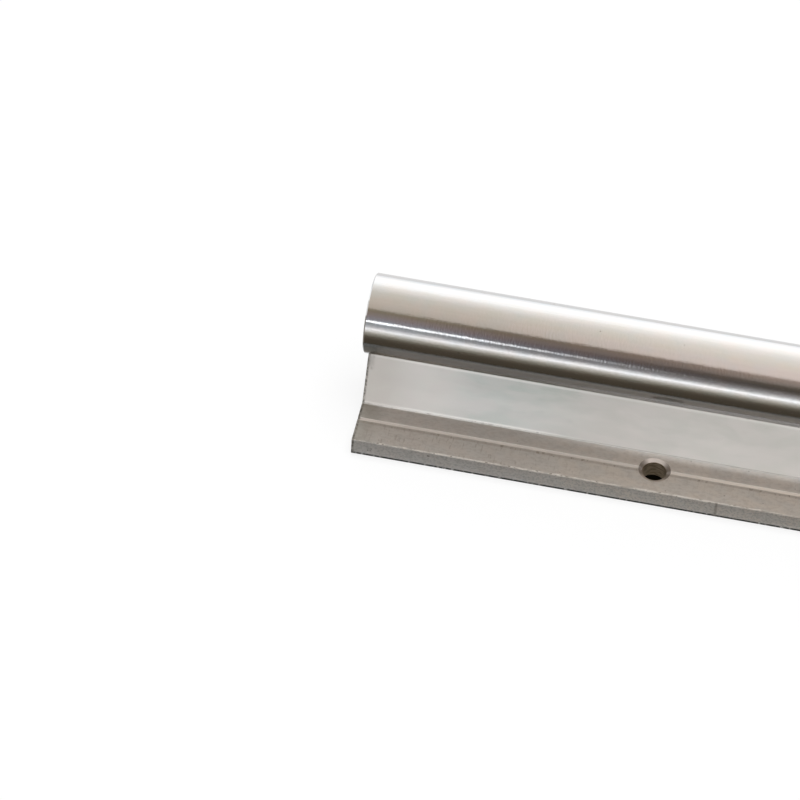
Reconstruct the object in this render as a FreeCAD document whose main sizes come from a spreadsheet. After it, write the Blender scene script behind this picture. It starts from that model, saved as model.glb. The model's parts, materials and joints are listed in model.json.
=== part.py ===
import FreeCAD, Part
import enum
import os
import Sketcher

# Supported round rail: a ground steel shaft held along its whole length in the saddle of an
# extruded aluminium support, by screws that come up from beneath.
# Millimetres. X runs along the rail, Z is up, and the origin is on the mounting face, under
# the middle of the shaft.

# Each driving size: its name, its value and what it is.
SIZES = [
    ("shaft_diameter", 20.0, "ground diameter of the shaft"),
    ("shaft_length", 300.0, "length of the shaft, a stock length of two hole pitches"),
    ("shaft_end_chamfer", 0.3, "chamfer on each end of the shaft"),
    ("shaft_centre_height", 27.0, "shaft axis above the mounting face"),
    ("support_set_back", 0.7, "how far each end of the support stops short of the shaft"),
    ("base_width", 45.0, "width of the flange"),
    ("flange_thickness", 5.0, "thickness of the flange"),
    ("flange_edge_radius", 0.5, "radius on the long edges of the flange"),
    ("web_root_width", 19.0, "width of the web where it meets the flange"),
    ("web_side_lean", 25.0, "lean of each side of the web from upright, in degrees"),
    ("web_root_radius", 0.3, "radius between the web and the flange"),
    ("channel_width", 11.0, "width of the channel along the underside"),
    ("channel_depth", 6.5, "depth of the channel along the underside"),
    ("channel_edge_radius", 0.3, "radius on the mouth of the channel"),
    ("scribe_width", 0.8, "width of the scribed line along each side of the flange"),
    ("scribe_depth", 0.7, "depth of the scribed line"),
    ("hole_pitch", 150.0, "spacing of the mounting holes along the rail"),
    ("hole_row_spacing", 30.0, "spacing of the two rows of mounting holes"),
    ("least_end_distance", 20.0, "least distance from an end of the shaft to a hole"),
    ("mounting_hole_diameter", 6.0, "mounting holes through the flange"),
    ("mounting_hole_chamfer", 1.0, "chamfer around the top of each mounting hole"),
    ("chamfer_angle", 120.0, "included angle of the chamfer on a hole, in degrees"),
    ("screw_diameter", 6.0, "thread diameter of the shaft screws"),
    ("screw_length", 20.0, "length of a shaft screw under its head"),
    ("screw_tip_chamfer", 0.6, "chamfer on the tip of a shaft screw"),
    ("screw_head_diameter", 10.0, "head diameter of a shaft screw"),
    ("screw_head_height", 6.0, "head height of a shaft screw"),
    ("screw_head_chamfer", 0.6, "chamfer around the outer face of the head"),
    ("socket_across_flats", 5.0, "width of the hexagon socket"),
    ("socket_depth", 3.0, "depth of the hexagon socket"),
    ("screw_hole_clearance", 0.2, "gap between a shaft screw and its hole in the web"),
    ("thread_clearance", 0.05, "gap between a shaft screw and its hole in the shaft"),
    ("tapped_hole_depth", 12.0, "depth of each tapped hole in the shaft, to its full bore"),
    ("drill_point_angle", 118.0, "included angle at the end of each tapped hole, in degrees"),
]

SUPPORT_LENGTH = "(sizes.shaft_length - 2 * sizes.support_set_back)"
HOLE_COUNT = "(floor((sizes.shaft_length - 2 * sizes.least_end_distance) / sizes.hole_pitch) + 1)"
FIRST_HOLE_X = f"(-sizes.hole_pitch * ({HOLE_COUNT} - 1) / 2)"
FAR_ROW = "sizes.hole_row_spacing / 2"
NEAR_ROW = f"-{FAR_ROW}"
MIDDLE = "0"

HEXAGON_SIDES = 6
POSITION_TOLERANCE = 1e-4
LEAST_CUT = 1e-3
CUTTING_FEATURES = ("PartDesign::Pocket", "PartDesign::Hole", "PartDesign::Chamfer")


class Point(enum.IntEnum):
    """The points of a line, an arc or a circle that a rule can hold."""

    START = 1
    END = 2
    CENTRE = 3


class Axis(enum.IntEnum):
    """The two axes of a sketch, as its rules number them."""

    LEVEL = -1
    UPRIGHT = -2


ORIGIN = (Axis.LEVEL, Point.START)


def make_sheet(doc):
    """The sheet of driving sizes, each cell known by its alias."""
    sheet = doc.addObject("Spreadsheet::Sheet", "sizes")
    for row, (alias, value, meaning) in enumerate(SIZES, start=1):
        sheet.set(f"A{row}", meaning)
        sheet.set(f"B{row}", str(value))
        sheet.setAlias(f"B{row}", alias)
    doc.recompute()
    return sheet


def measure(item, expression):
    """The number that an expression over the sheet gives now."""
    return float(item.evalExpression(expression))


def start_body(doc, label):
    """A body named after its piece."""
    body = doc.addObject("PartDesign::Body", label)
    body.Label = label
    return body


def origin_feature(body, role):
    """One of the body's own origin planes or axes."""
    return next(item for item in body.Origin.OriginFeatures if item.Role == role)


def start_sketch(body, name, plane, offset=None):
    """A sketch on an origin plane, raised off it by an expression where one is given."""
    sketch = body.newObject("Sketcher::SketchObject", name)
    sketch.AttachmentSupport = [(origin_feature(body, plane), "")]
    sketch.MapMode = "FlatFace"
    if offset:
        sketch.setExpression(".AttachmentOffset.Base.z", offset)
    return sketch


def rule(sketch, kind, *references):
    """A geometric rule, such as Horizontal or Symmetric."""
    sketch.addConstraint(Sketcher.Constraint(kind, *references))


def join(sketch, edge, following):
    """The end of one edge on the start of the next."""
    rule(sketch, "Coincident", edge, Point.END, following, Point.START)


def dimension(sketch, name, kind, references, expression):
    """A named dimension that follows an expression over the sheet."""
    value = measure(sketch, expression)
    if kind == "Angle":
        value = FreeCAD.Units.Quantity(value, FreeCAD.Units.Angle)
    index = sketch.addConstraint(Sketcher.Constraint(kind, *references, value))
    sketch.renameConstraint(index, name)
    sketch.setExpression(f"Constraints.{name}", expression)


def draw_edges(sketch, points, closed=True):
    """Straight edges from point to point, joined end to end. Returns their indices."""
    starts = [FreeCAD.Vector(x, y, 0) for x, y in points]
    ends = starts[1:] + starts[:1] if closed else starts[1:]
    edges = [sketch.addGeometry(Part.LineSegment(*pair)) for pair in zip(starts, ends)]
    for edge, following in zip(edges, edges[1:]):
        join(sketch, edge, following)
    if closed:
        join(sketch, edges[-1], edges[0])
    return edges


def draw_circle(sketch, name, x, y, radius):
    """A circle whose centre and radius follow expressions over the sheet."""
    centre = FreeCAD.Vector(measure(sketch, x), measure(sketch, y), 0)
    upright = FreeCAD.Vector(0, 0, 1)
    circle = sketch.addGeometry(Part.Circle(centre, upright, measure(sketch, radius)))
    dimension(sketch, f"{name}_x", "DistanceX", (*ORIGIN, circle, Point.CENTRE), x)
    dimension(sketch, f"{name}_y", "DistanceY", (*ORIGIN, circle, Point.CENTRE), y)
    dimension(sketch, f"{name}_radius", "Radius", (circle,), radius)
    return circle


def add_feature(body, kind, name, profile, **settings):
    """A feature made from a sketch, with its plain settings."""
    body.Document.recompute()
    feature = body.newObject(kind, name)
    feature.Profile = profile
    for setting, value in settings.items():
        setattr(feature, setting, value)
    return feature


def drill(body, name, level, rows, diameter, upwards, depth=None):
    """Round holes at the first place along the rail, right through or to a drill point."""
    places = start_sketch(body, f"{name}_places", "XY_Plane", level)
    for number, row in enumerate(rows, start=1):
        draw_circle(places, f"hole_{number}", FIRST_HOLE_X, row, f"({diameter}) / 2")
    hole = add_feature(body, "PartDesign::Hole", name, places, ThreadType="None")
    hole.Reversed = upwards
    hole.setExpression("Diameter", diameter)
    if depth is None:
        hole.DepthType = "ThroughAll"
        return hole
    hole.DepthType = "Dimension"
    hole.DrillPoint = "Angled"
    hole.setExpression("Depth", depth)
    hole.setExpression("DrillPointAngle", "sizes.drill_point_angle")
    return hole


def repeat_along_rail(body, name, feature):
    """The feature again at every hole pitch."""
    pattern = body.newObject("PartDesign::LinearPattern", name)
    pattern.Originals = [feature]
    pattern.Direction = (origin_feature(body, "X_Axis"), [""])
    pattern.Mode = "Spacing"
    pattern.setExpression("Offset", "sizes.hole_pitch")
    pattern.setExpression("Occurrences", HOLE_COUNT)
    body.Tip = pattern


def edge_names(shape, wanted):
    """Names of the edges that a test picks."""
    return [f"Edge{number}" for number, edge in enumerate(shape.Edges, start=1) if wanted(edge)]


def round_edges(body, name, y, z, radius):
    """A radius on the two lengthwise edges, left and right, at one place of the section."""
    body.Document.recompute()
    base = body.Tip
    fillet = body.newObject("PartDesign::Fillet", name)
    side, level = measure(fillet, y), measure(fillet, z)

    def lies_there(edge):
        ends = [vertex.Point for vertex in edge.Vertexes]
        return all(abs(abs(end.y) - side) + abs(end.z - level) < POSITION_TOLERANCE for end in ends)

    fillet.Base = (base, edge_names(base.Shape, lies_there))
    fillet.setExpression("Radius", radius)


def draw_support_section(body):
    """The extruded outline: flange, leaning web sides and the saddle under the shaft."""
    sketch = start_sketch(body, "support_section", "YZ_Plane")
    half_base = measure(sketch, "sizes.base_width / 2")
    half_root = measure(sketch, "sizes.web_root_width / 2")
    half_saddle = half_root / 2
    flange_top = measure(sketch, "sizes.flange_thickness")
    saddle_top = measure(sketch, "sizes.shaft_centre_height - sizes.shaft_diameter / 2")
    right_side, right_top, right_edge, bottom, left_edge, left_top, left_side = draw_edges(
        sketch,
        [
            (half_saddle, saddle_top),
            (half_root, flange_top),
            (half_base, flange_top),
            (half_base, 0),
            (-half_base, 0),
            (-half_base, flange_top),
            (-half_root, flange_top),
            (-half_saddle, saddle_top),
        ],
        closed=False,
    )
    left_lip = FreeCAD.Vector(-half_saddle, saddle_top, 0)
    right_lip = FreeCAD.Vector(half_saddle, saddle_top, 0)
    dip = FreeCAD.Vector(0, saddle_top - half_saddle / 2, 0)
    saddle = sketch.addGeometry(Part.Arc(left_lip, dip, right_lip))
    join(sketch, left_side, saddle)
    join(sketch, saddle, right_side)
    for level in (right_top, bottom, left_top):
        rule(sketch, "Horizontal", level)
    for upright in (right_edge, left_edge):
        rule(sketch, "Vertical", upright)
    rule(sketch, "Symmetric", bottom, Point.START, bottom, Point.END, *ORIGIN)
    rule(sketch, "Symmetric", right_side, Point.END, left_side, Point.START, Axis.UPRIGHT)
    rule(sketch, "Symmetric", right_side, Point.START, left_side, Point.END, Axis.UPRIGHT)
    across_base = (bottom, Point.END, bottom, Point.START)
    up_edge = (right_edge, Point.END, right_edge, Point.START)
    across_root = (left_side, Point.START, right_side, Point.END)
    to_shaft_axis = (*ORIGIN, saddle, Point.CENTRE)
    top_to_side = (right_top, Point.START, right_side, Point.END)
    dimension(sketch, "base_width", "DistanceX", across_base, "sizes.base_width")
    dimension(sketch, "flange_thickness", "DistanceY", up_edge, "sizes.flange_thickness")
    dimension(sketch, "web_root_width", "DistanceX", across_root, "sizes.web_root_width")
    dimension(sketch, "saddle_radius", "Radius", (saddle,), "sizes.shaft_diameter / 2")
    dimension(sketch, "shaft_axis_height", "DistanceY", to_shaft_axis, "sizes.shaft_centre_height")
    dimension(sketch, "top_to_side", "Angle", top_to_side, "90 + sizes.web_side_lean")
    return sketch


def draw_channel(body):
    """The channel's section, up from the mounting face."""
    sketch = start_sketch(body, "channel_section", "YZ_Plane")
    half_width = measure(sketch, "sizes.channel_width / 2")
    depth = measure(sketch, "sizes.channel_depth")
    corners = [(-half_width, 0), (half_width, 0), (half_width, depth), (-half_width, depth)]
    mouth, right_wall, ceiling, left_wall = draw_edges(sketch, corners)
    for wall in (right_wall, left_wall):
        rule(sketch, "Vertical", wall)
    for level in (mouth, ceiling):
        rule(sketch, "Horizontal", level)
    rule(sketch, "Symmetric", mouth, Point.START, mouth, Point.END, *ORIGIN)
    across_mouth = (mouth, Point.START, mouth, Point.END)
    up_wall = (right_wall, Point.START, right_wall, Point.END)
    dimension(sketch, "channel_width", "DistanceX", across_mouth, "sizes.channel_width")
    dimension(sketch, "channel_depth", "DistanceY", up_wall, "sizes.channel_depth")
    return sketch


def draw_scribed_lines(body):
    """The V of the scribed line on each side, its tip below the row of mounting holes."""
    sketch = start_sketch(body, "scribe_section", "YZ_Plane")
    half_width = measure(sketch, "sizes.scribe_width / 2")
    flange_top = measure(sketch, "sizes.flange_thickness")
    tip_level = measure(sketch, "sizes.flange_thickness - sizes.scribe_depth")
    for name, row in (("far", FAR_ROW), ("near", NEAR_ROW)):
        middle = measure(sketch, row)
        mouth_ends = [(middle - half_width, flange_top), (middle + half_width, flange_top)]
        mouth, wall, _ = draw_edges(sketch, [*mouth_ends, (middle, tip_level)])
        rule(sketch, "Horizontal", mouth)
        across_mouth = (mouth, Point.START, mouth, Point.END)
        half_across = (wall, Point.END, wall, Point.START)
        up_to_mouth = (*ORIGIN, mouth, Point.START)
        up_to_tip = (wall, Point.END, wall, Point.START)
        to_row = (*ORIGIN, wall, Point.END)
        dimension(sketch, f"{name}_mouth", "DistanceX", across_mouth, "sizes.scribe_width")
        dimension(sketch, f"{name}_half", "DistanceX", half_across, "sizes.scribe_width / 2")
        dimension(sketch, f"{name}_level", "DistanceY", up_to_mouth, "sizes.flange_thickness")
        dimension(sketch, f"{name}_depth", "DistanceY", up_to_tip, "sizes.scribe_depth")
        dimension(sketch, f"{name}_row", "DistanceX", to_row, row)
    return sketch


def cut_along_rail(body, name, section):
    """A section cut out of the support from end to end."""
    cut = add_feature(body, "PartDesign::Pocket", name, section, SideType="Symmetric")
    cut.setExpression("Length", SUPPORT_LENGTH)


def drill_mounting_holes(body):
    """Two rows of chamfered holes through the flange, one pair at each pitch."""
    diameter = "sizes.mounting_hole_diameter"
    level = "sizes.flange_thickness"
    holes = drill(body, "first_mounting_holes", level, (FAR_ROW, NEAR_ROW), diameter, upwards=False)
    holes.HoleCutType = "Countersink"
    holes.HoleCutCustomValues = True
    holes.setExpression("HoleCutDiameter", f"{diameter} + 2 * sizes.mounting_hole_chamfer")
    holes.setExpression("HoleCutCountersinkAngle", "sizes.chamfer_angle")
    repeat_along_rail(body, "mounting_holes", holes)


def drill_screw_holes(body):
    """Plain holes from the channel up through the saddle, one at each pitch."""
    diameter = "sizes.screw_diameter + 2 * sizes.screw_hole_clearance"
    level = "sizes.channel_depth"
    hole = drill(body, "first_screw_hole", level, (MIDDLE,), diameter, upwards=True)
    repeat_along_rail(body, "screw_holes", hole)


def drill_tapped_holes(body):
    """Blind holes up into the shaft from beneath, one at each pitch."""
    diameter = "sizes.screw_diameter + 2 * sizes.thread_clearance"
    level = "-sizes.shaft_diameter / 2"
    depth = "sizes.tapped_hole_depth"
    hole = drill(body, "first_tapped_hole", level, (MIDDLE,), diameter, upwards=True, depth=depth)
    repeat_along_rail(body, "tapped_holes", hole)


def make_support_rail(doc):
    """The extruded support, with its channel, scribed lines and holes."""
    body = start_body(doc, "support_rail")
    section = draw_support_section(body)
    extrusion = add_feature(body, "PartDesign::Pad", "extrusion", section, SideType="Symmetric")
    extrusion.setExpression("Length", SUPPORT_LENGTH)
    cut_along_rail(body, "channel", draw_channel(body))
    half_base = "sizes.base_width / 2"
    edge_radius = "sizes.flange_edge_radius"
    round_edges(body, "flange_top_edges", half_base, "sizes.flange_thickness", edge_radius)
    round_edges(body, "flange_bottom_edges", half_base, "0", edge_radius)
    half_root = "sizes.web_root_width / 2"
    round_edges(body, "web_roots", half_root, "sizes.flange_thickness", "sizes.web_root_radius")
    round_edges(body, "channel_mouth", "sizes.channel_width / 2", "0", "sizes.channel_edge_radius")
    cut_along_rail(body, "scribed_lines", draw_scribed_lines(body))
    drill_mounting_holes(body)
    drill_screw_holes(body)
    return body


def make_shaft(doc):
    """The ground shaft, chamfered at both ends and tapped from beneath for its screws."""
    body = start_body(doc, "shaft")
    section = start_sketch(body, "shaft_section", "YZ_Plane")
    draw_circle(section, "shaft", MIDDLE, MIDDLE, "sizes.shaft_diameter / 2")
    bar = add_feature(body, "PartDesign::Pad", "bar", section, SideType="Symmetric")
    bar.setExpression("Length", "sizes.shaft_length")
    doc.recompute()
    end_edges = edge_names(bar.Shape, lambda edge: edge.BoundBox.XLength < POSITION_TOLERANCE)
    chamfer = body.newObject("PartDesign::Chamfer", "end_chamfers")
    chamfer.Base = (bar, end_edges)
    chamfer.setExpression("Size", "sizes.shaft_end_chamfer")
    drill_tapped_holes(body)
    body.setExpression(".Placement.Base.z", "sizes.shaft_centre_height")
    return body


def draw_screw_half(body):
    """Half the section of a shaft screw, its seat level with the body's origin."""
    sketch = start_sketch(body, "screw_half_section", "XZ_Plane")
    head_radius = measure(sketch, "sizes.screw_head_diameter / 2")
    head_bottom = measure(sketch, "-sizes.screw_head_height")
    head_chamfer = measure(sketch, "sizes.screw_head_chamfer")
    thread_radius = measure(sketch, "sizes.screw_diameter / 2")
    tip = measure(sketch, "sizes.screw_length")
    tip_chamfer = measure(sketch, "sizes.screw_tip_chamfer")
    outline = [
        (0, head_bottom),
        (head_radius - head_chamfer, head_bottom),
        (head_radius, head_bottom + head_chamfer),
        (head_radius, 0),
        (thread_radius, 0),
        (thread_radius, tip - tip_chamfer),
        (thread_radius - tip_chamfer, tip),
        (0, tip),
    ]
    face, bevel, head_side, seat, thread, tip_bevel, tip_face, axis = draw_edges(sketch, outline)
    for level in (face, seat, tip_face):
        rule(sketch, "Horizontal", level)
    for upright in (head_side, thread):
        rule(sketch, "Vertical", upright)
    for point in (Point.START, Point.END):
        rule(sketch, "PointOnObject", axis, point, Axis.UPRIGHT)
    to_head_side = (*ORIGIN, seat, Point.START)
    to_thread = (*ORIGIN, thread, Point.START)
    down_to_face = (face, Point.START, *ORIGIN)
    up_to_seat = (face, Point.END, seat, Point.START)
    up_to_tip = (*ORIGIN, tip_face, Point.START)
    bevel_rise = (bevel, Point.START, bevel, Point.END)
    tip_bevel_rise = (tip_bevel, Point.START, tip_bevel, Point.END)
    tip_bevel_run = (tip_bevel, Point.END, tip_bevel, Point.START)
    dimension(sketch, "head_radius", "DistanceX", to_head_side, "sizes.screw_head_diameter / 2")
    dimension(sketch, "thread_radius", "DistanceX", to_thread, "sizes.screw_diameter / 2")
    dimension(sketch, "head_height", "DistanceY", down_to_face, "sizes.screw_head_height")
    dimension(sketch, "seat_height", "DistanceY", up_to_seat, "sizes.screw_head_height")
    dimension(sketch, "length", "DistanceY", up_to_tip, "sizes.screw_length")
    dimension(sketch, "bevel_rise", "DistanceY", bevel_rise, "sizes.screw_head_chamfer")
    dimension(sketch, "bevel_run", "DistanceX", bevel_rise, "sizes.screw_head_chamfer")
    dimension(sketch, "tip_bevel_rise", "DistanceY", tip_bevel_rise, "sizes.screw_tip_chamfer")
    dimension(sketch, "tip_bevel_run", "DistanceX", tip_bevel_run, "sizes.screw_tip_chamfer")
    return sketch


def draw_socket(body):
    """The hexagon of the socket on the outer face of the head."""
    sketch = start_sketch(body, "socket_outline", "XY_Plane", "-sizes.screw_head_height")
    to_corner = "sizes.socket_across_flats / sqrt(3)"
    corner_radius = measure(sketch, to_corner)
    upright = FreeCAD.Vector(0, 0, 1)
    first = FreeCAD.Vector(corner_radius, 0, 0)
    turns = [FreeCAD.Rotation(upright, 360 * side / HEXAGON_SIDES) for side in range(HEXAGON_SIDES)]
    corners = [turn.multVec(first) for turn in turns]
    sides = draw_edges(sketch, [(corner.x, corner.y) for corner in corners])
    guide = sketch.addGeometry(Part.Circle(FreeCAD.Vector(), upright, corner_radius), True)
    rule(sketch, "Coincident", guide, Point.CENTRE, *ORIGIN)
    for side in sides:
        rule(sketch, "PointOnObject", side, Point.START, guide)
    for side in sides[1:]:
        rule(sketch, "Equal", sides[0], side)
    rule(sketch, "PointOnObject", sides[0], Point.START, Axis.LEVEL)
    dimension(sketch, "corner_radius", "Radius", (guide,), to_corner)
    return sketch


def make_shaft_screw(doc, number):
    """A socket head screw, head down, seated on the ceiling of the channel."""
    body = start_body(doc, f"shaft_screw_{number}")
    half_section = draw_screw_half(body)
    turned = add_feature(body, "PartDesign::Revolution", "turned_screw", half_section)
    turned.ReferenceAxis = (half_section, ["V_Axis"])
    outline = draw_socket(body)
    socket = add_feature(body, "PartDesign::Pocket", "socket", outline, Reversed=True)
    socket.setExpression("Length", "sizes.socket_depth")
    body.setExpression(".Placement.Base.x", f"{FIRST_HOLE_X} + {number - 1} * sizes.hole_pitch")
    body.setExpression(".Placement.Base.z", "sizes.channel_depth")
    return body


def check(doc, bodies):
    """Stop if anything failed, a sketch is loose, a cut missed or a piece isn't one sound solid."""
    for item in doc.Objects:
        if {"Invalid", "Error"} & set(item.State):
            raise RuntimeError(f"{item.Name} failed: {item.State}")
        if item.TypeId == "Sketcher::SketchObject" and not item.FullyConstrained:
            raise RuntimeError(f"{item.Name} isn't held by its sizes")
        if item.TypeId in CUTTING_FEATURES:
            removed = item.BaseFeature.Shape.Volume - item.Shape.Volume
            if removed < LEAST_CUT:
                raise RuntimeError(f"{item.Name} cuts nothing away")
    for body in bodies:
        if body.Shape.isNull() or not body.Shape.isValid() or len(body.Shape.Solids) != 1:
            raise RuntimeError(f"{body.Label} isn't one sound solid")


def main():
    """Build every piece, check it and write it out."""
    doc = FreeCAD.newDocument("supported_round_rail")
    sheet = make_sheet(doc)
    bodies = [make_support_rail(doc), make_shaft(doc)]
    for number in range(1, int(measure(sheet, HOLE_COUNT)) + 1):
        bodies.append(make_shaft_screw(doc, number))
    doc.recompute()
    check(doc, bodies)
    os.makedirs("parts", exist_ok=True)
    for body in bodies:
        body.Shape.exportStep(os.path.join("parts", f"{body.Label}.step"))


main()
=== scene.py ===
import json
import math
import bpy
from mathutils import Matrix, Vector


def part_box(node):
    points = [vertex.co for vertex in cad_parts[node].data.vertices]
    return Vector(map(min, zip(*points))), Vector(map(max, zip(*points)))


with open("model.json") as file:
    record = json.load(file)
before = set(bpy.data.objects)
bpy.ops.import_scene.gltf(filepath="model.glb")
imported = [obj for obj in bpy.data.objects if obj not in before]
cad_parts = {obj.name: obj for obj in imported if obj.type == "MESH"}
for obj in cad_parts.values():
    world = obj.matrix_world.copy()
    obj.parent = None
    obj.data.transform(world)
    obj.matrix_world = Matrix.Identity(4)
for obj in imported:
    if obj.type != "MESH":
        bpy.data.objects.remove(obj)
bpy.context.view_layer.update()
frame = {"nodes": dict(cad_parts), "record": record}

from types import SimpleNamespace

import bpy
from mathutils import Matrix, Vector

# The supported round rail on a white table, in metres. X runs along the rail and Z is up.
MM = 0.001

# The camera looks down at the end of the rail that the photograph shows.
VIEW_AZIMUTH = math.radians(8.47)
VIEW_ELEVATION = math.radians(45.57)
VIEW_ROLL = math.radians(3.79)
VIEW_DISTANCE = 1.0
VIEW_TARGET = Vector((-0.1413, 0.0, -0.0016))
LENS_MM = 179.64
SENSOR_MM = 36.0

# The table is white to the eye. A dark shade under the rail shows through its holes.
TABLE_SIZE = 30.0
TABLE_ALBEDO = 0.8
TABLE_SHADOW_SHARE = 0.22
TABLE_GAP = 0.2 * MM
SHADE_COLOUR = (0.004, 0.0035, 0.002)
SHADE_INSET = 0.7 * MM

# A soft lamp hangs over the table, in even daylight.
LAMP_SIZE = 1.2
LAMP_HEIGHT = 1.6
LAMP_WATTS = 18.0
DAYLIGHT = 0.75

# A glowing half-round tent of cloth over the rail and a glowing cloth on the table show in the metal
# only.
TENT_RADIUS = 0.6
TENT_LENGTH = 4.0
TENT_SIDES = 96
HALF_TURN = 180.0
# Each stop holds degrees up from the front horizon and the cloth's colour there. The cloth
# changes from the left stops to the right ones between these two places.
TENT_LEFT_X = -0.2
TENT_RIGHT_X = -0.05
TENT_LEFT = [
    (0.0, (1.15, 1.15, 1.17)),
    (4.0, (0.83, 0.83, 0.84)),
    (7.4, (0.61, 0.61, 0.63)),
    (11.0, (0.39, 0.40, 0.42)),
    (15.0, (0.325, 0.35, 0.36)),
    (28.0, (0.265, 0.265, 0.29)),
    (36.0, (0.26, 0.225, 0.23)),
    (50.0, (0.237, 0.196, 0.15)),
    (54.5, (0.245, 0.21, 0.155)),
    (60.0, (0.50, 0.445, 0.38)),
    (72.0, (0.57, 0.505, 0.44)),
    (88.0, (0.62, 0.56, 0.49)),
    (106.0, (0.69, 0.65, 0.58)),
    (116.0, (0.82, 0.78, 0.73)),
    (127.0, (1.00, 0.97, 0.92)),
    (136.0, (1.20, 1.20, 1.18)),
    (146.0, (1.30, 1.30, 1.30)),
    (163.0, (1.30, 1.30, 1.30)),
    (180.0, (0.90, 0.935, 0.965)),
]
TENT_RIGHT = [
    (0.0, (1.45, 1.46, 1.48)),
    (4.9, (0.96, 0.97, 0.975)),
    (7.5, (0.62, 0.62, 0.62)),
    (11.0, (0.44, 0.43, 0.43)),
    (17.0, (0.25, 0.24, 0.24)),
    (22.7, (0.122, 0.108, 0.096)),
    (28.5, (0.07, 0.06, 0.05)),
    (37.0, (0.10, 0.083, 0.063)),
    (43.0, (0.24, 0.20, 0.175)),
    (49.0, (0.31, 0.25, 0.215)),
    (55.0, (0.33, 0.26, 0.22)),
    (62.0, (0.74, 0.64, 0.59)),
    (78.0, (0.76, 0.67, 0.62)),
    (91.0, (0.80, 0.73, 0.65)),
    (110.0, (0.88, 0.83, 0.76)),
    (120.0, (0.96, 0.91, 0.85)),
    (131.0, (1.10, 1.06, 1.00)),
    (145.0, (1.28, 1.26, 1.24)),
    (163.0, (1.30, 1.30, 1.30)),
    (180.0, (1.03, 1.06, 1.09)),
]
# The cloth is darker in a patch: its middle, its edges across the rail and up the cloth.
PATCH_X = -0.128
PATCH_REACH = (0.075, 0.03)
PATCH_RISE = (8.0, 14.0)
PATCH_FALL = (60.0, 55.0)
PATCH_SHARE = 0.29
PATCH_COLOUR = (0.03, 0.0, 0.0)
# A thin tube of light in front dies away to the right.
TUBE = [
    (19.3, (0.0, 0.0, 0.0)),
    (21.3, (1.5, 1.55, 1.6)),
    (24.1, (1.5, 1.55, 1.6)),
    (26.1, (0.0, 0.0, 0.0)),
]
TUBE_FULL_X = -0.22
TUBE_END_X = -0.095
# Each stop holds the distance from the rail's centre plane and the glowing cloth's colour there, a
# painted reflection of the table: painted shade under the rail, dark just in front of it, a thin bright
# line by the foot, and pale farther away. The first colour lies under the rail and shows in the metal
# through the holes.
CLOTH_REACH = 0.6
CLOTH_FRONT = [
    (0.0190, (0.24, 0.22, 0.19)),
    (0.0222, (0.10, 0.10, 0.09)),
    (0.0236, (0.25, 0.25, 0.24)),
    (0.0245, (0.80, 0.80, 0.78)),
    (0.0254, (0.60, 0.60, 0.58)),
    (0.0264, (0.055, 0.045, 0.031)),
    (0.048, (0.066, 0.054, 0.040)),
    (0.065, (0.105, 0.090, 0.068)),
    (0.086, (0.215, 0.200, 0.165)),
    (0.127, (0.44, 0.42, 0.37)),
    (0.23, (0.80, 0.79, 0.76)),
    (0.6, (1.22, 1.22, 1.23)),
]
CLOTH_BACK = (0.80, 0.80, 0.80)

# Sizes of the rail that the finishes follow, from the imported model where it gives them.
MOUNTS = {row["name"]: row for row in frame["record"]["mounts"]}
SHAFT_RADIUS = MOUNTS["bearing_way"]["dims"]["r_mm"] * MM
SHAFT_AXIS_Z = MOUNTS["bearing_way"]["pos_m"][2]
HOLE_RADIUS = MOUNTS["mounting_holes"]["dims"]["hole_r_mm"] * MM
HOLE_X = MOUNTS["mounting_holes"]["dims"]["spacing_x_mm"] / 2 * MM
HOLE_Y = MOUNTS["mounting_holes"]["dims"]["spacing_y_mm"] / 2 * MM
RAIL_HALF_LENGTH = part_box("support_rail")[1].x
RAIL_HALF_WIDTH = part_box("support_rail")[1].y
FLANGE_TOP = 5.0 * MM
WEB_ROOT_HALF_WIDTH = 9.5 * MM
HOLE_CHAMFER = 0.98 * MM
# A face is an end face as the part of its normal that points along the rail goes over these.
END_FACING = (0.8, 0.9)

# Each pair says where a finish begins and where it is full.
# The shaft's underside is duller and painted darker as shade, and less dark farther down. These are turns
# from its top.
FILM_START = (math.radians(91.0), math.radians(96.5))
FILM_THIN = (math.radians(111.0), math.radians(122.0))
# Dust lies in the seam between the shaft and its support, from these turns and places on.
SEAM_START = (math.radians(108.5), math.radians(113.5))
SEAM_REACH = (-125.0 * MM, -60.0 * MM)
# Zones of the support along X.
LEFT_END = (-120.0 * MM, -134.0 * MM)
RIGHT = (-115.0 * MM, -85.0 * MM)
FAR_RIGHT = (-90.0 * MM, -50.0 * MM)
BLOOM = (-120.0 * MM, -60.0 * MM)
# Patches of the support: the middle along X, and the reach to either side of it.
COOL_PATCH_X = -112.0 * MM
COOL_PATCH_REACH = (30.0 * MM, 8.0 * MM)
SHADED_PATCH_X = -108.0 * MM
SHADED_PATCH_REACH = (26.0 * MM, 8.0 * MM)
SCRATCH_X = -58.6 * MM
SCRATCH_REACH = (0.45 * MM, 0.15 * MM)
# Heights over the table.
FOOT_FALL = (1.1 * MM, 0.7 * MM)
SHADED_PATCH_RISE = (10.0 * MM, 13.5 * MM)
BURR_RISE = (12.5 * MM, 15.0 * MM)
CREST_RISE = (16.15 * MM, 16.45 * MM)
# Distances from the support's ends.
NEAR_END = (7.0 * MM, 0.5 * MM)
WEB_END = (14.0 * MM, 3.0 * MM)
BURR_END = (2.4 * MM, 0.6 * MM)
END_EDGE = (0.75 * MM, 0.35 * MM)

# The saw's marks are arcs about this point of the end faces, in Y and Z.
SAW_CENTRE = (-30.0 * MM, -110.0 * MM)
# The support's far side has the marks of a place this far along, so that the sides differ.
FAR_SIDE_SHIFT = 0.37
# A pattern goes from none to full as its noise goes over one of these ranges.
SOFT = (0.3, 0.7)
CLEAR = (0.35, 0.65)
SHARP = (0.4, 0.6)

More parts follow.
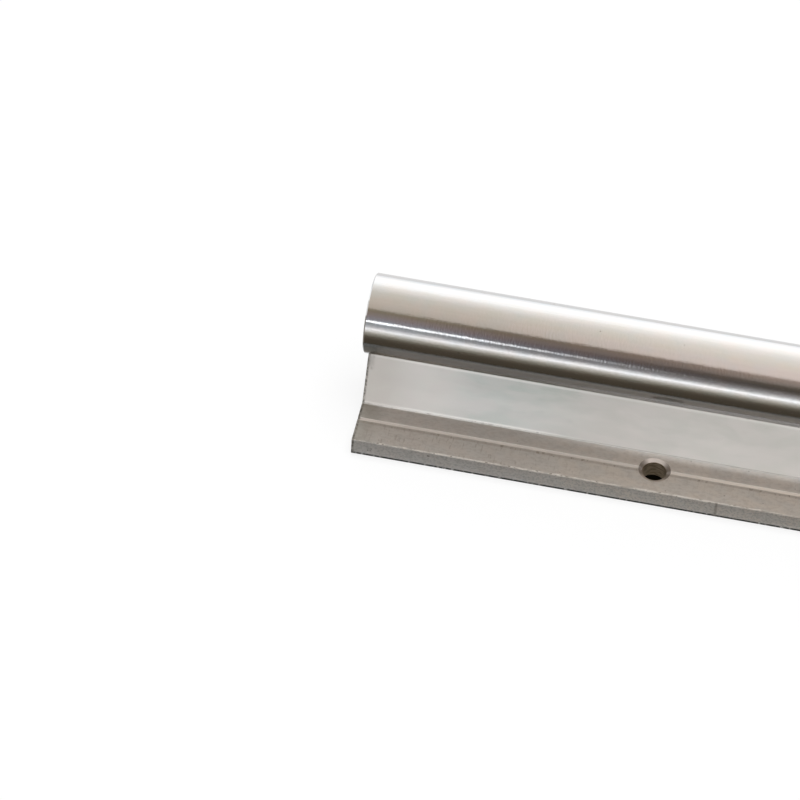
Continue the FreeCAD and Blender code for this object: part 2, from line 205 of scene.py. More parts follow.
# Sockets of the Mix node, which has some for each kind of data.
MIX_SHARE = 0
MIX_VALUES = (2, 3)
MIX_COLOURS = (6, 7)
MIXED_VALUE = 0
MIXED_COLOUR = 2


class Finish:
    """A surface made of shader nodes. Its places are in metres, in the rail's own frame."""

    def __init__(self, name):
        self.material = bpy.data.materials.new(name)
        self.material.use_nodes = True
        self.tree = self.material.node_tree
        self.tree.nodes.clear()
        self.output = self.node("ShaderNodeOutputMaterial")
        where = self.node("ShaderNodeTexCoord")
        self.place = where.outputs["Object"]
        self.facing = where.outputs["Normal"]

    def node(self, kind, inputs=None, **settings):
        """A node with its settings, and its inputs set to values or linked to sockets."""
        node = self.tree.nodes.new(kind)
        for name, value in settings.items():
            setattr(node, name, value)
        for name, value in (inputs or {}).items():
            if isinstance(value, bpy.types.NodeSocket):
                self.tree.links.new(value, node.inputs[name])
            else:
                node.inputs[name].default_value = value
        return node

    def axes(self, vector):
        """The three parts of a vector."""
        parts = self.node("ShaderNodeSeparateXYZ", {"Vector": vector})
        return parts.outputs["X"], parts.outputs["Y"], parts.outputs["Z"]

    def vector(self, x, y=0.0, z=0.0):
        """A vector from its three parts."""
        return self.node("ShaderNodeCombineXYZ", {"X": x, "Y": y, "Z": z}).outputs["Vector"]

    def math(self, operation, *values):
        """The result of one sum on one to three values."""
        return self.node("ShaderNodeMath", dict(enumerate(values)), operation=operation).outputs[0]

    def size(self, value):
        """The value without its sign."""
        return self.math("ABSOLUTE", value)

    def past(self, value, edge):
        """How far the value is past an edge."""
        return self.math("SUBTRACT", value, edge)

    def off(self, value, middle):
        """How far the value is from a middle, either way."""
        return self.size(self.past(value, middle))

    def reach(self, first, second):
        """How far a point lies from the middle, from its two distances."""
        squares = self.math("MULTIPLY", second, second)
        return self.math("SQRT", self.math("MULTIPLY_ADD", first, first, squares))

    def plus(self, value, mask, amount):
        """The value, with an amount more where the mask is 1."""
        return self.math("MULTIPLY_ADD", mask, amount, value)

    def rest(self, mask):
        """The rest of the surface: 1 where the mask is 0."""
        return self.math("SUBTRACT", 1.0, mask)

    def shared(self, first, *others):
        """The product of values, such as the part that masks share."""
        for other in others:
            first = self.math("MULTIPLY", first, other)
        return first

    def largest(self, first, *others):
        """The largest of values, such as the part that masks cover together."""
        for other in others:
            first = self.math("MAXIMUM", first, other)
        return first

    def fade(self, value, start, end, low=0.0, high=1.0):
        """From low to high, smoothly, as the value goes from start to end."""
        inputs = {"Value": value, "From Min": start, "From Max": end, "To Min": low, "To Max": high}
        return self.node("ShaderNodeMapRange", inputs, interpolation_type="SMOOTHSTEP").outputs["Result"]

    def ease(self, mask, low, high):
        """From low off the mask to high on it, smoothly."""
        return self.fade(mask, 0.0, 1.0, low, high)

    def spread(self, place, per_metre, shift):
        """The place in waves or cells instead of metres, with the pattern moved by a shift."""
        inputs = {"Vector": place, "Scale": per_metre, "Location": (shift, shift, shift)}
        return self.node("ShaderNodeMapping", inputs).outputs["Vector"]

    def noise(self, place, per_metre, detail=2.0, shift=0.0):
        """Noise from 0 to 1, with so many waves to the metre along each axis."""
        inputs = {"Vector": self.spread(place, per_metre, shift), "Scale": 1.0, "Detail": detail}
        return self.node("ShaderNodeTexNoise", inputs).outputs["Fac"]

    def specks(self, place, per_metre, share, size, shift=0.0):
        """1 on round specks in a share of the cells, 0 elsewhere. The size is a share of a cell."""
        inputs = {"Vector": self.spread(place, per_metre, shift), "Scale": 1.0}
        cells = self.node("ShaderNodeTexVoronoi", inputs, voronoi_dimensions="2D")
        chance, width, _ = self.axes(cells.outputs["Color"])
        radius = self.math("MULTIPLY", width, size)
        inside = self.fade(self.math("DIVIDE", cells.outputs["Distance"], radius), 1.0, 0.5)
        return self.math("MULTIPLY", inside, self.math("LESS_THAN", chance, share))

    def blend(self, share, first, second):
        """The first value with a share of the second in it."""
        inputs = {MIX_SHARE: share, **dict(zip(MIX_VALUES, (first, second)))}
        return self.node("ShaderNodeMix", inputs, data_type="FLOAT").outputs[MIXED_VALUE]

    def mix(self, share, first, second, way="MIX"):
        """The first colour with a share of the second in it, or with it added."""
        inputs = {MIX_SHARE: share}
        for socket, colour in zip(MIX_COLOURS, (first, second)):
            inputs[socket] = colour if isinstance(colour, bpy.types.NodeSocket) else (*colour, 1.0)
        mixed = self.node("ShaderNodeMix", inputs, data_type="RGBA", blend_type=way)
        return mixed.outputs[MIXED_COLOUR]

    def coats(self, colour, *layers):
        """The colour with layers over it, each a share and a colour."""
        for share, layer in layers:
            colour = self.mix(share, colour, layer)
        return colour

    def steps(self, value, stops, reach):
        """The colour between stops, each a place and a colour, as the value goes from 0 to reach."""
        ramp = self.node("ShaderNodeValToRGB", {"Fac": self.math("DIVIDE", value, reach)})
        elements = ramp.color_ramp.elements
        while len(elements) < len(stops):
            elements.new(1.0)
        for element, (place, colour) in zip(elements, stops):
            element.position = place / reach
            element.color = (*colour, 1.0)
        return ramp.outputs["Color"]

    def relief(self, *layers):
        """The normal of a surface with layers of relief, each a pattern and its rise in metres."""
        normal = None
        for pattern, rise in layers:
            inputs = {"Height": pattern, "Distance": rise, "Strength": 1.0}
            if normal:
                inputs["Normal"] = normal
            normal = self.node("ShaderNodeBump", inputs).outputs["Normal"]
        return normal

    def glow(self, colour):
        """Light of this colour, the same from all sides."""
        return self.node("ShaderNodeEmission", {"Color": colour, "Strength": 1.0}).outputs[0]

    def cover(self, shader):
        """The material with this shader on its surface."""
        self.tree.links.new(shader, self.output.inputs["Surface"])
        return self.material

    def metal(self, inputs):
        """The material as metal with these inputs."""
        return self.cover(self.node("ShaderNodeBsdfPrincipled", inputs).outputs["BSDF"])


def dress(piece, material):
    """One material over the whole piece."""
    piece.data.materials.clear()
    piece.data.materials.append(material)


def ground_steel():
    """Ground, hard-chromed steel: a near mirror with faint grinding rings, streaks and specks."""
    finish = Finish("ground_steel")
    x, y, z = finish.axes(finish.place)
    up = finish.past(z, SHAFT_AXIS_Z)
    turn = finish.math("ARCTAN2", y, up)
    from_top = finish.size(turn)
    skin = finish.vector(x, finish.math("MULTIPLY", turn, SHAFT_RADIUS))
    end = finish.fade(finish.size(finish.axes(finish.facing)[0]), *END_FACING)
    film = finish.fade(from_top, *FILM_START)
    thin_film = finish.fade(from_top, *FILM_THIN)
    seam = finish.shared(finish.fade(from_top, *SEAM_START), finish.fade(x, *SEAM_REACH))

    grinding = finish.noise(skin, (2600.0, 25.0, 1.0), 2.0)
    streaks = finish.noise(skin, (7.0, 1300.0, 1.0), 3.0, 3.1)
    smudges = finish.noise(skin, (35.0, 90.0, 1.0), 3.0, 7.7)
    ripples = finish.noise(skin, (420.0, 1500.0, 1.0), 2.0, 5.5)
    chatter = finish.noise(skin, (2000.0, 800.0, 1.0), 2.0, 6.2)
    tints = finish.noise(skin, (170.0, 300.0, 1.0), 2.0, 2.9)
    blushes = finish.noise(skin, (230.0, 260.0, 1.0), 2.0, 9.9)
    specks = finish.specks(skin, (150.0, 150.0, 1.0), 0.25, 0.05)
    end_rings = finish.noise(finish.vector(finish.reach(y, up)), (5000.0, 1.0, 1.0), 3.0)

    colour = finish.coats(
        finish.mix(smudges, (0.775, 0.775, 0.770), (0.825, 0.812, 0.790)),
        (finish.fade(streaks, *SOFT, 0.0, 0.10), (0.62, 0.60, 0.58)),
        (specks, (0.36, 0.32, 0.28)),
        (finish.fade(tints, *CLEAR, 0.0, 0.5), (0.76, 0.79, 0.82)),
        (finish.fade(blushes, *CLEAR, 0.0, 0.35), (0.85, 0.79, 0.79)),
        # Painted shade: the shaft's underside is darker, and less dark farther down.
        (film, finish.mix(thin_film, (0.40, 0.415, 0.43), (0.58, 0.585, 0.59))),
        (end, (0.72, 0.71, 0.69)),
    )
    polish = finish.fade(smudges, 0.35, 0.75, 0.065, 0.115)
    ground = finish.plus(finish.plus(polish, film, 0.09), grinding, 0.03)
    relief = finish.relief(
        (grinding, 0.0004 * MM),
        (streaks, 0.003 * MM),
        (ripples, 0.01 * MM),
        (chatter, 0.015 * MM),
        (finish.shared(end_rings, end), 0.004 * MM),
    )
    return finish.metal({
        "Base Color": colour,
        "Metallic": finish.plus(1.0, seam, -0.45),
        "Roughness": finish.blend(end, ground, finish.fade(end_rings, *SOFT, 0.2, 0.34)),
        "Normal": relief,
    })


def add_profile_parts(finish, part):
    """The parts across the rail: the web, the flange, their edges and the scribed lines."""
    x, y, z = finish.axes(finish.place)
    aside = finish.size(y)
    past_root = finish.past(aside, WEB_ROOT_HALF_WIDTH)
    past_row = finish.past(aside, HOLE_Y)
    past_side = finish.past(aside, RAIL_HALF_WIDTH)
    above_flange = finish.past(z, FLANGE_TOP)
    part.front = finish.math("LESS_THAN", y, 0.0)
    part.far_side = finish.math("GREATER_THAN", y, 0.0)

    part.web = finish.fade(above_flange, 0.02 * MM, 0.15 * MM)
    part.off_web = finish.rest(part.web)
    part.crest = finish.fade(z, *CREST_RISE)
    part.root = finish.shared(part.web, finish.fade(above_flange, 0.8 * MM, 0.3 * MM))
    part.corner = finish.fade(finish.reach(past_root, above_flange), 0.4 * MM, 0.2 * MM)

    part.top = finish.shared(part.off_web, finish.fade(above_flange, -0.2 * MM, -0.05 * MM))
    part.ledge = finish.shared(part.top, finish.fade(past_root, 0.4 * MM, 0.1 * MM))
    part.near_web = finish.fade(past_root, 3.5 * MM, -0.2 * MM)
    part.groove = finish.fade(finish.size(past_row), 0.56 * MM, 0.44 * MM)
    part.lip = finish.fade(finish.off(past_row, 1.0 * MM), 0.55 * MM, 0.15 * MM)
    part.side = finish.fade(past_side, -0.3 * MM, -0.1 * MM)
    part.outer = finish.shared(finish.rest(part.side), finish.fade(past_row, 0.5 * MM, 0.9 * MM))
    # The foot's lowest edge, which carries a painted contact shadow.
    part.foot = finish.shared(part.side, finish.fade(z, *FOOT_FALL))

    ragged = finish.noise(finish.vector(x, y), (600.0, 600.0, 1.0), 3.0, 6.6)
    part.rim = finish.shared(
        finish.fade(finish.plus(past_side, ragged, 1.2 * MM), 0.2 * MM, 0.35 * MM),
        finish.fade(finish.plus(above_flange, ragged, 0.8 * MM), 0.1 * MM, 0.3 * MM),
    )


def add_zones(finish, part):
    """The parts along the rail: its zones, patches and the scratch on its side."""
    x, _, z = finish.axes(finish.place)
    part.left_end = finish.fade(x, *LEFT_END)
    part.right = finish.fade(x, *RIGHT)
    part.far_right = finish.fade(x, *FAR_RIGHT)
    part.left = finish.rest(part.right)
    bloom = finish.fade(x, *BLOOM)
    part.bloom = finish.shared(part.top, bloom, finish.shared(part.near_web, part.near_web))
    cool = finish.fade(finish.off(x, COOL_PATCH_X), *COOL_PATCH_REACH)
    part.cool = finish.shared(part.front, cool)
    shaded = finish.fade(finish.off(x, SHADED_PATCH_X), *SHADED_PATCH_REACH)
    part.shaded = finish.shared(part.front, shaded, finish.fade(z, *SHADED_PATCH_RISE))
    scratch = finish.fade(finish.off(x, SCRATCH_X), *SCRATCH_REACH)
    part.scratch = finish.shared(part.side, part.front, scratch)


def add_end_parts(finish, part):
    """The parts at the ends of the rail: where painted shade lies near them, the sawn faces, their edges
    and the burr of the saw.
    """
    x, _, z = finish.axes(finish.place)
    from_end = finish.math("SUBTRACT", RAIL_HALF_LENGTH, finish.size(x))
    off_web_and_side = finish.math("SUBTRACT", part.off_web, part.side)
    part.near_end = finish.shared(off_web_and_side, finish.fade(from_end, *NEAR_END))
    part.web_end = finish.shared(part.web, part.front, finish.fade(from_end, *WEB_END))
    part.burr = finish.shared(finish.fade(from_end, *BURR_END), finish.fade(z, *BURR_RISE))
    part.end_edge = finish.fade(from_end, *END_EDGE)
    part.sawn = finish.fade(finish.size(finish.axes(finish.facing)[0]), *END_FACING)


def add_hole_parts(finish, part):
    """The parts of the mounting holes: the bore and the chamfer, with painted shade on its sides that
    face along the rail and where the scribed lines meet it, and a pale side.
    """
    x, y, _ = finish.axes(finish.place)
    facing_x, facing_y, _ = finish.axes(finish.facing)
    past_row = finish.past(finish.size(y), HOLE_Y)
    from_hole = finish.reach(finish.past(finish.size(x), HOLE_X), past_row)
    part.bore = finish.math("LESS_THAN", from_hole, HOLE_RADIUS + 0.05 * MM)
    part.chamfer = finish.math("LESS_THAN", from_hole, HOLE_RADIUS + HOLE_CHAMFER)
    endwise = finish.fade(finish.size(facing_x), 0.2, 0.45)
    endwise = finish.shared(endwise, finish.fade(facing_y, 0.40, 0.15, 0.45, 1.0))
    in_line = finish.fade(finish.size(past_row), 0.50 * MM, 0.44 * MM)
    part.chamfer_dark = finish.shared(part.chamfer, finish.largest(endwise, in_line))
    part.chamfer_pale = finish.shared(part.chamfer, finish.fade(facing_y, -0.15, -0.42))


def support_parts(finish):
    """The parts of the support's surface, each a value that is 1 on it and 0 off it."""
    part = SimpleNamespace()
    add_profile_parts(finish, part)
    add_zones(finish, part)
    add_end_parts(finish, part)
    add_hole_parts(finish, part)
    return part


def support_marks(finish):
    """The marks on the support's surface, each a noise or a scatter from 0 to 1."""
    x, y, z = finish.axes(finish.place)
    far_side = finish.math("GREATER_THAN", y, 0.0)
    skin = finish.vector(finish.plus(x, far_side, FAR_SIDE_SHIFT), finish.past(z, finish.size(y)))
    saw_y, saw_z = SAW_CENTRE
    from_saw = finish.reach(finish.past(y, saw_y), finish.past(z, saw_z))
    return SimpleNamespace(
        fine_lines=finish.noise(skin, (14.0, 2300.0, 1.0), 2.0),
        die_lines=finish.noise(skin, (4.0, 520.0, 1.0), 3.0, 5.3),
        clouds=finish.noise(skin, (20.0, 55.0, 1.0), 2.0, 9.1),
        wide_clouds=finish.noise(skin, (9.0, 20.0, 1.0), 1.0, 1.7),
        blotches=finish.noise(skin, (60.0, 130.0, 1.0), 2.0, 3.6),
        tints=finish.noise(skin, (170.0, 260.0, 1.0), 2.0, 7.2),
        grain=finish.noise(skin, (900.0, 1500.0, 1.0), 2.0, 2.4),
        speckle=finish.noise(skin, (1700.0, 1900.0, 1.0), 2.0, 4.8),
        pits=finish.specks(skin, (420.0, 620.0, 1.0), 0.07, 0.13),
        nicks=finish.specks(skin, (700.0, 1300.0, 1.0), 0.6, 0.45, 4.2),
        ticks=finish.fade(finish.noise(skin, (1100.0, 500.0, 1.0), 2.0, 8.8), 0.55, 0.68),
        strokes=finish.fade(finish.noise(skin, (1700.0, 320.0, 1.0), 2.0, 1.2), 0.58, 0.70),
        saw_lines=finish.noise(finish.vector(from_saw), (1500.0, 1.0, 1.0), 3.0),
        drill_lines=finish.noise(finish.place, (700.0, 700.0, 2600.0), 3.0),
    )


def flange_colour(finish, part, mark):
    """The flange: warm and cloudy, and paler to the right."""
    cloudy = finish.mix(mark.clouds, (0.93, 0.895, 0.865), (0.85, 0.83, 0.81))
    return finish.mix(finish.shared(part.right, 0.6), cloudy, (1.0, 0.95, 0.88))


def web_colour(finish, part, mark):
    """The web: cooler than the flange, with its patches, darker to the right, and painted darker behind
    as shade.
    """
    clouds = finish.fade(mark.wide_clouds, *CLEAR)
    cool_share = finish.fade(mark.blotches, *SOFT, 0.5, 1.0)
    shaded_share = finish.fade(mark.blotches, *SOFT, 0.4, 0.8)
    behind = finish.mix(mark.clouds, (0.74, 0.72, 0.69), (0.62, 0.61, 0.59))
    return finish.coats(
        finish.mix(clouds, (0.87, 0.85, 0.815), (0.80, 0.80, 0.785)),
        (finish.shared(part.cool, cool_share), (0.70, 0.715, 0.68)),
        (finish.shared(part.shaded, shaded_share), (0.54, 0.60, 0.55)),
        (finish.shared(part.right, 0.8), (0.71, 0.68, 0.635)),
        (part.left_end, (0.86, 0.83, 0.785)),
        (finish.fade(mark.blotches, *CLEAR, 0.0, 0.14), (0.58, 0.62, 0.57)),
        (finish.fade(mark.tints, *SHARP, 0.0, 0.25), (0.83, 0.765, 0.745)),
        # Painted shade: the web's far side is darker, which damps its bright reflection.
        (finish.shared(part.far_side, 0.9), behind),
    )


def grained_colour(finish, part, mark):
    """The flange and the web with the die's lines, the grain and painted highlights along the web's crest
    and root.
    """
    bright_crest = finish.shared(part.crest, finish.ease(part.right, 0.45, 0.1))
    bright_root = finish.shared(part.root, finish.ease(part.right, 0.8, 0.0))
    web_and_ledge = finish.largest(part.web, part.ledge)
    side_speckle = finish.fade(mark.speckle, 0.45, 0.65, 0.0, 0.5)
    return finish.coats(
        finish.mix(web_and_ledge, flange_colour(finish, part, mark), web_colour(finish, part, mark)),
        (finish.shared(part.off_web, finish.fade(mark.die_lines, *CLEAR, 0.0, 0.07)), (0.55, 0.53, 0.50)),
        (finish.shared(part.off_web, finish.fade(mark.tints, *CLEAR, 0.0, 0.35)), (0.82, 0.84, 0.84)),
        (finish.shared(part.off_web, finish.fade(mark.grain, 0.4, 0.7, 0.0, 0.16)), (0.50, 0.48, 0.45)),
        (finish.shared(part.side, side_speckle), (0.60, 0.61, 0.59)),
        (finish.shared(mark.pits, finish.ease(part.web, 0.5, 0.15)), (0.34, 0.30, 0.27)),
        # Painted highlights along the web's crest and root.
        (finish.largest(bright_crest, bright_root), (1.0, 0.97, 0.92)),
    )


def worn_colour(finish, part, mark, colour):
    """The colour with the wear of the edges and the side over it, and painted light: highlights on the
    rim and the scribed lines, and painted shade at the foot, beside the lines and near the ends.
    """
    stroke_share = finish.ease(part.right, 0.3, 0.1)
    line = finish.mix(part.far_right, (0.80, 0.75, 0.70), (0.92, 0.86, 0.79))
    end_speckle = finish.fade(mark.speckle, *SHARP, 0.3, 0.9)
    return finish.coats(
        colour,
        # Painted shade on the flange near the ends.
        (finish.shared(part.near_end, 0.7), (0.46, 0.45, 0.41)),
        # Painted shade on the front of the web near the ends.
        (finish.shared(part.web_end, 0.5), (0.65, 0.60, 0.54)),
        # Painted shadow along the lip beside each scribed line, broken by ticks.
        (finish.shared(part.lip, finish.ease(mark.ticks, 0.4, 1.0)), (0.56, 0.51, 0.46)),
        (finish.shared(part.outer, mark.strokes, stroke_share), (0.46, 0.42, 0.38)),
        # The rubbed rim is paler, partly wear and partly a painted highlight along the edge.
        (finish.shared(part.rim, finish.fade(mark.speckle, 0.38, 0.6, 0.1, 1.0)), (0.99, 0.95, 0.90)),
        (finish.shared(part.rim, mark.nicks), (0.40, 0.36, 0.32)),
        (finish.shared(part.left, part.corner, mark.ticks, 0.4), (0.40, 0.36, 0.33)),
        # The scribed lines are painted pale, a painted highlight in each groove, paler to the far right.
        (part.groove, line),
        # Painted contact shadow along the foot, broken by ticks.
        (finish.shared(part.foot, finish.ease(mark.ticks, 1.0, 0.6)), (0.02, 0.02, 0.018)),
        (finish.shared(part.scratch, 0.45), (0.34, 0.30, 0.27)),
        (finish.shared(part.side, part.left_end, mark.nicks, mark.ticks), (0.40, 0.37, 0.34)),
        (finish.shared(part.burr, finish.ease(mark.ticks, 0.3, 1.0)), (0.16, 0.15, 0.135)),
        (finish.shared(part.end_edge, end_speckle), (0.16, 0.15, 0.13)),
    )


def support_colour(finish, part, mark):
    """The support's colour: the grained and worn skin, with the cut faces over it."""
    # The bore has drill lines, with a dark brown that paints the shade in the hole.
    drilled = finish.mix(finish.fade(mark.drill_lines, *CLEAR), (0.24, 0.20, 0.145), (0.48, 0.41, 0.33))
    return finish.coats(
        worn_colour(finish, part, mark, grained_colour(finish, part, mark)),
        (part.sawn, (0.80, 0.79, 0.78)),
        (part.chamfer, (0.80, 0.74, 0.69)),
        # Painted shade on the chamfer's sides that face along the rail, and over the scribed lines' ends
        # in it.
        (part.chamfer_dark, (0.36, 0.32, 0.29)),
        (part.bore, drilled),
    )


def support_metal(finish, part):
    """How bare the support's metal is: 1 where it mirrors, less where it is dull and pale."""
    dull = finish.largest(
        # Duller metal beside the web shows paler, a painted reflection of the bright web on the flange.
        finish.shared(part.bloom, 0.52),
        finish.shared(part.ledge, 0.8),
        finish.shared(part.groove, 0.38),
        finish.shared(part.rim, 0.13),
        finish.shared(part.chamfer_pale, 0.35),
        finish.shared(part.foot, 0.8),
    )
    cut = finish.largest(part.bore, part.sawn)
    return finish.rest(finish.shared(dull, finish.rest(cut)))


def support_roughness(finish, part, mark):
    """The support's roughness: smooth web, matt flange and cut faces."""
    flange = finish.fade(mark.grain, *SOFT, 0.50, 0.62)
    bright = finish.largest(finish.shared(part.root, part.left), part.crest)
    web = finish.plus(finish.fade(mark.clouds, *SOFT, 0.155, 0.185), bright, -0.05)
    web = finish.plus(web, part.far_side, 0.15)
    skin = finish.blend(part.web, flange, web)
    sawn = finish.blend(part.sawn, skin, finish.fade(mark.saw_lines, *SOFT, 0.28, 0.45))
    return finish.blend(part.chamfer, sawn, finish.fade(mark.drill_lines, *SOFT, 0.3, 0.5))


def support_relief(finish, part, mark):
    """The support's fine relief: the die's lines, grain, pits and the marks of saw and drill."""
    skin = finish.rest(finish.largest(part.sawn, part.chamfer))
    calm = finish.shared(skin, finish.ease(part.web, 1.0, 0.2))
    lines = finish.plus(mark.die_lines, mark.fine_lines, 0.35)
    return finish.relief(
        (finish.shared(lines, calm), 0.006 * MM),
        (finish.shared(mark.grain, calm), 0.002 * MM),
        (finish.shared(mark.pits, finish.ease(part.web, -1.0, -0.2)), 0.03 * MM),
        (finish.shared(mark.saw_lines, part.sawn), 0.03 * MM),
        (finish.shared(mark.drill_lines, part.chamfer), 0.05 * MM),
    )


def mill_aluminium():
    """Extruded aluminium with a rubbed rim, scribed lines, sawn ends and drilled holes, and painted
    highlights and shade.
    """
    finish = Finish("mill_aluminium")
    part = support_parts(finish)
    mark = support_marks(finish)
    return finish.metal({
        "Base Color": support_colour(finish, part, mark),
        "Metallic": support_metal(finish, part),
        "Roughness": support_roughness(finish, part, mark),
        "Anisotropic": 0.8,
        "Tangent": finish.node("ShaderNodeTangent", direction_type="RADIAL", axis="X").outputs[0],
        "Normal": support_relief(finish, part, mark),
    })


def black_oxide():
    """Blackened screw steel with patches rubbed through to bare metal."""
    finish = Finish("black_oxide")
    grain = finish.noise(finish.place, (1800.0, 1800.0, 1800.0), 3.0)
    patches = finish.noise(finish.place, (400.0, 400.0, 400.0), 2.0, 6.0)
    black = finish.mix(grain, (0.020, 0.020, 0.023), (0.060, 0.058, 0.056))
    return finish.metal({
        "Base Color": finish.mix(finish.fade(patches, 0.58, 0.75), black, (0.13, 0.12, 0.11)),
        "Metallic": 1.0,
        "Roughness": finish.fade(grain, *SOFT, 0.30, 0.46),
        "Normal": finish.relief((grain, 0.008 * MM)),
    })


def dress_rail():
    """The finish of every piece of the rail."""
    dress(frame["nodes"]["shaft"], ground_steel())
    dress(frame["nodes"]["support_rail"], mill_aluminium())
    screw_finish = black_oxide()
    for name, node in frame["nodes"].items():
        if name.startswith("shaft_screw"):
            dress(node, screw_finish)


def stage_piece(name, points, faces, material):
    """A piece of the studio, made from points and faces."""
    mesh = bpy.data.meshes.new(name)
    mesh.from_pydata(points, [], faces)
    piece = bpy.data.objects.new(name, mesh)
    bpy.context.scene.collection.objects.link(piece)
    dress(piece, material)
    return piece


def level_sheet(name, half_length, half_width, level, material):
    """A level sheet of the studio, centred under the rail."""
    corners = [(-1, -1), (1, -1), (1, 1), (-1, 1)]
    points = [(x * half_length, y * half_width, level) for x, y in corners]
    return stage_piece(name, points, [(0, 1, 2, 3)], material)


def show_in_metal_only(piece):
    """The piece is seen in reflections and nowhere else."""
    piece.visible_camera = False
    piece.visible_diffuse = False
    piece.visible_shadow = False
    piece.visible_volume_scatter = False


def white_table():
    """A pale table, white to the eye and in metal, with the rail's soft shadow on it."""
    finish = Finish("white_table")
    grey = (TABLE_ALBEDO, TABLE_ALBEDO, TABLE_ALBEDO, 1.0)
    lit = finish.node("ShaderNodeBsdfDiffuse", {"Color": grey}).outputs[0]
    glow = finish.glow((1.0, 1.0, 1.0, 1.0))
    seen = finish.node("ShaderNodeMixShader", {"Fac": TABLE_SHADOW_SHARE, 1: glow, 2: lit}).outputs[0]
    path = finish.node("ShaderNodeLightPath")
    looks = finish.largest(path.outputs["Is Camera Ray"], path.outputs["Is Glossy Ray"])
    return finish.cover(finish.node("ShaderNodeMixShader", {"Fac": looks, 1: lit, 2: seen}).outputs[0])


def dark_shade():
    """The dark under the rail."""
    finish = Finish("dark_shade")
    colour = (*SHADE_COLOUR, 1.0)
    return finish.cover(finish.node("ShaderNodeBsdfDiffuse", {"Color": colour}).outputs[0])


def table_cloth():
    """Glowing cloth, a painted reflection of the table: painted shade under the rail, dark just in front
    of it, and pale farther away and behind it.
    """
    finish = Finish("table_cloth")
    y = finish.axes(finish.place)[1]
    front = finish.steps(finish.math("MULTIPLY", y, -1.0), CLOTH_FRONT, CLOTH_REACH)
    behind = finish.math("GREATER_THAN", y, 0.0)
    return finish.cover(finish.glow(finish.mix(behind, front, CLOTH_BACK)))


def tent_cloth():
    """Glowing cloth whose colour changes with the angle up from the front horizon."""
    finish = Finish("tent_cloth")
    x, y, z = finish.axes(finish.place)
    front = finish.math("MULTIPLY", y, -1.0)
    angle = finish.math("DEGREES", finish.math("ARCTAN2", z, front))
    left = finish.steps(angle, TENT_LEFT, HALF_TURN)
    right = finish.steps(angle, TENT_RIGHT, HALF_TURN)
    cloth = finish.mix(finish.fade(x, TENT_LEFT_X, TENT_RIGHT_X), left, right)
    patch = finish.shared(
        finish.fade(angle, *PATCH_RISE),
        finish.fade(angle, *PATCH_FALL),
        finish.fade(finish.off(x, PATCH_X), *PATCH_REACH, 0.0, PATCH_SHARE),
    )
    cloth = finish.mix(patch, cloth, PATCH_COLOUR)
    tube_share = finish.fade(x, TUBE_END_X, TUBE_FULL_X)
    tube = finish.mix(tube_share, (0.0, 0.0, 0.0), finish.steps(angle, TUBE, HALF_TURN))
    return finish.cover(finish.glow(finish.mix(1.0, cloth, tube, "ADD")))


def build_tent():
    """The half-round tent over the rail."""
    points = []
    for end in (-TENT_LENGTH / 2, TENT_LENGTH / 2):
        for side in range(TENT_SIDES + 1):
            turn = math.pi * side / TENT_SIDES
            points.append((end, -TENT_RADIUS * math.cos(turn), TENT_RADIUS * math.sin(turn)))
    row = TENT_SIDES + 1
    faces = [(side, side + 1, row + side + 1, row + side) for side in range(TENT_SIDES)]
    show_in_metal_only(stage_piece("tent", points, faces, tent_cloth()))


def build_table():
    """The table top, the dark shade under the rail and the glowing cloth that shows in the metal."""
    half = TABLE_SIZE / 2
    level_sheet("table", half, half, -TABLE_GAP, white_table())
    shade_size = (RAIL_HALF_LENGTH - SHADE_INSET, RAIL_HALF_WIDTH - SHADE_INSET)
    level_sheet("shade", *shade_size, -TABLE_GAP / 2, dark_shade())
    show_in_metal_only(level_sheet("cloth", TENT_LENGTH / 2, CLOTH_REACH, TABLE_GAP, table_cloth()))


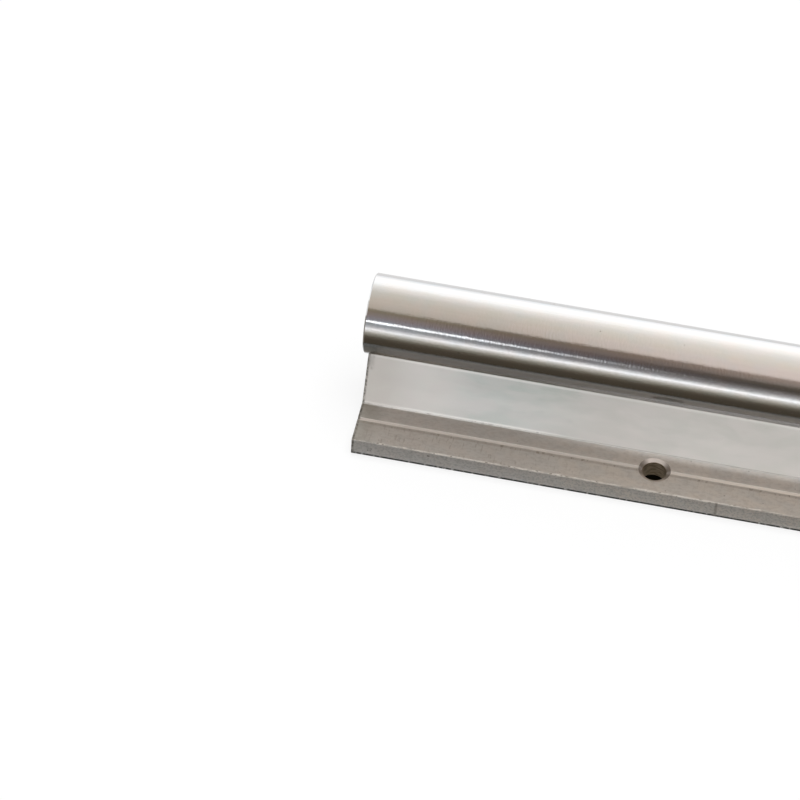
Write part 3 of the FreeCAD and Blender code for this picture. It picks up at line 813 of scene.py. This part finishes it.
def build_lamp():
    """A soft lamp over the table. The metal mirrors the tent in its place."""
    data = bpy.data.lights.new("overhead_lamp", "AREA")
    data.shape = "SQUARE"
    data.size = LAMP_SIZE
    data.energy = LAMP_WATTS
    lamp = bpy.data.objects.new("overhead_lamp", data)
    lamp.location = (0.0, 0.0, LAMP_HEIGHT)
    lamp.visible_glossy = False
    bpy.context.scene.collection.objects.link(lamp)


def build_daylight():
    """Even daylight, white where the camera sees it."""
    world = bpy.data.worlds.new("daylight")
    bpy.context.scene.world = world
    world.use_nodes = True
    nodes, links = world.node_tree.nodes, world.node_tree.links
    nodes.clear()
    output = nodes.new("ShaderNodeOutputWorld")
    sky = nodes.new("ShaderNodeBackground")
    path = nodes.new("ShaderNodeLightPath")
    strength = nodes.new("ShaderNodeMapRange")
    strength.inputs["To Min"].default_value = DAYLIGHT
    strength.inputs["To Max"].default_value = 1.0
    sky.inputs["Color"].default_value = (1.0, 1.0, 1.0, 1.0)
    links.new(path.outputs["Is Camera Ray"], strength.inputs["Value"])
    links.new(strength.outputs["Result"], sky.inputs["Strength"])
    links.new(sky.outputs["Background"], output.inputs["Surface"])


def build_camera():
    """The camera at the photograph's place."""
    sin_a, cos_a = math.sin(VIEW_AZIMUTH), math.cos(VIEW_AZIMUTH)
    sin_e, cos_e = math.sin(VIEW_ELEVATION), math.cos(VIEW_ELEVATION)
    back = Vector((sin_a * cos_e, -cos_a * cos_e, sin_e))
    level_right = Vector((cos_a, sin_a, 0.0))
    level_up = back.cross(level_right)
    right = level_right * math.cos(VIEW_ROLL) + level_up * math.sin(VIEW_ROLL)
    up = back.cross(right)
    data = bpy.data.cameras.new("camera")
    data.lens = LENS_MM
    data.sensor_width = SENSOR_MM
    camera = bpy.data.objects.new("camera", data)
    turn = Matrix((right, up, back)).transposed()
    camera.matrix_world = Matrix.Translation(VIEW_TARGET + back * VIEW_DISTANCE) @ turn.to_4x4()
    bpy.context.scene.collection.objects.link(camera)
    bpy.context.scene.camera = camera


bpy.context.scene.view_settings.view_transform = "Standard"
dress_rail()
build_table()
build_tent()
build_lamp()
build_daylight()
build_camera()
